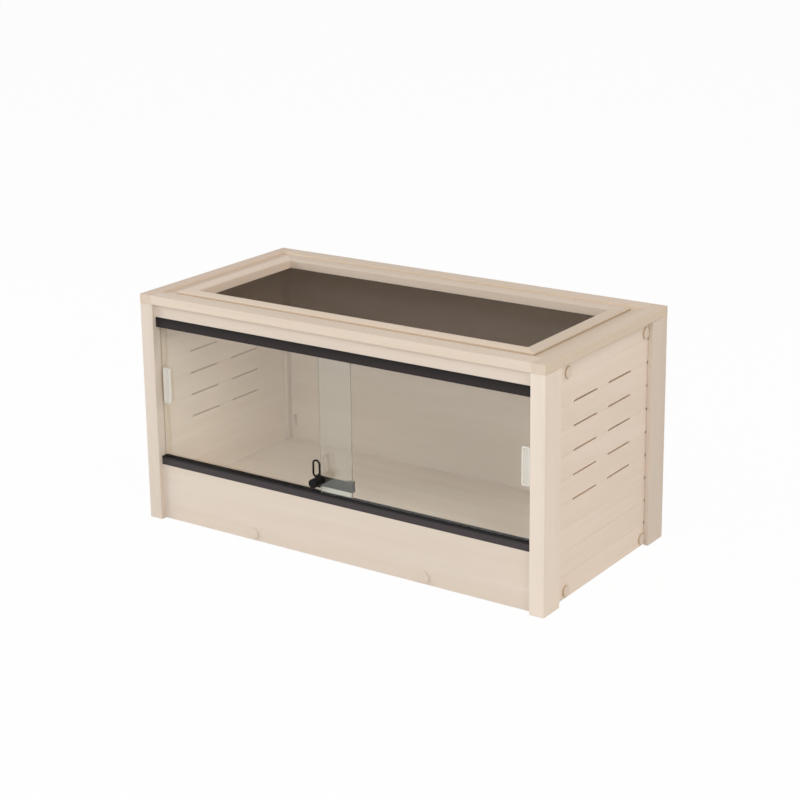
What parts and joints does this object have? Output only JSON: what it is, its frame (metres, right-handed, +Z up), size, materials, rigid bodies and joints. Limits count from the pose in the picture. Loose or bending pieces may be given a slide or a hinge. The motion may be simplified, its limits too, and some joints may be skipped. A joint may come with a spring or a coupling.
{
  "type": "terrarium cabinet",
  "caption": "Low wooden terrarium cabinet with sliding glass doors on black double tracks, a ratchet lock with its key, slotted plank sides and a lift-off screen lid.",
  "frame": {"origin": "on the ground, under the centre of the whole object's box, the lock barrel included", "axes": "+X to the right seen from the front, +Y towards the rear, +Z up"},
  "size_m": [0.91, 0.474, 0.463],
  "materials": {
    "board": "pale fine-grained board, satin",
    "cap": "satin, board coloured",
    "track": "satin black extrusion",
    "glass": "clear float glass with polished green edges",
    "pull": "milky clear",
    "bar": "dull plated",
    "cushion": "soft white vinyl",
    "lock": "black, semi-gloss",
    "plug": "dark plated",
    "key": "black, semi-gloss",
    "mesh": "dark coated wire",
    "screw": "plated"
  },
  "bodies": {
    "cabinet": {"post_front_left": "board", "post_front_right": "board", "post_rear_left": "board", "post_rear_right": "board", "side_planks_left": "board", "side_planks_right": "board", "rear_panel": "board", "front_panel": "board", "floor_panel": "board", "cleat_front": "board", "cleat_rear": "board", "cleat_left": "board", "cleat_right": "board", "rail_front": "board", "rail_rear": "board", "rail_left": "board", "rail_right": "board", "trim_front": "board", "trim_rear": "board", "trim_left": "board", "trim_right": "board", "batten_front": "board", "batten_rear": "board", "batten_left": "board", "batten_right": "board", "track_bottom": "track", "track_top": "track", "screws": "screw", "screw_caps": "cap"},
    "left_door": {"glass_left": "glass", "pull_left": "pull", "ratchet_bar": "bar", "bar_cushion": "cushion"},
    "right_door": {"glass_right": "glass", "pull_right": "pull"},
    "lock": {"lock_body": "lock"},
    "pawl": {"lock_pawl": "plug"},
    "plug": {"lock_plug": "plug"},
    "key_body": {"key": "key"},
    "lid": {"lid_front": "board", "lid_rear": "board", "lid_left": "board", "lid_right": "board", "lid_mesh": "mesh", "mesh_beads": "board"}
  },
  "joints": [
    {"name": "left_door_slide", "type": "slide", "parent": "cabinet", "child": "left_door", "axis": [1, 0, 0], "range_m": [0, 0.364]},
    {"name": "right_door_slide", "type": "slide", "parent": "cabinet", "child": "right_door", "axis": [1, 0, 0], "range_m": [-0.364, 0]},
    {"name": "lock_slide", "type": "slide", "parent": "right_door", "child": "lock", "axis": [-1, 0, 0], "range_m": [0, 0.03]},
    {"name": "key_turn", "type": "hinge", "parent": "lock", "child": "plug", "pos_m": [-0.0315, -0.222, 0.16], "axis": [0, 0, 1], "range_deg": [0, 90]},
    {"name": "pawl_release", "type": "slide", "parent": "lock", "child": "pawl", "axis": [0, -1, 0], "range_m": [0, 0.0008]},
    {"name": "key_pull", "type": "slide", "parent": "plug", "child": "key_body", "axis": [0, 0, 1], "range_m": [0, 0.03]},
    {"name": "lid_lift", "type": "slide", "parent": "cabinet", "child": "lid", "axis": [0, 0, 1], "range_m": [0, 0.1]}
  ],
  "couplings": [
    {"joint": "pawl_release", "follows": "key_turn", "m_per_rad": 0.0005}
  ]
}
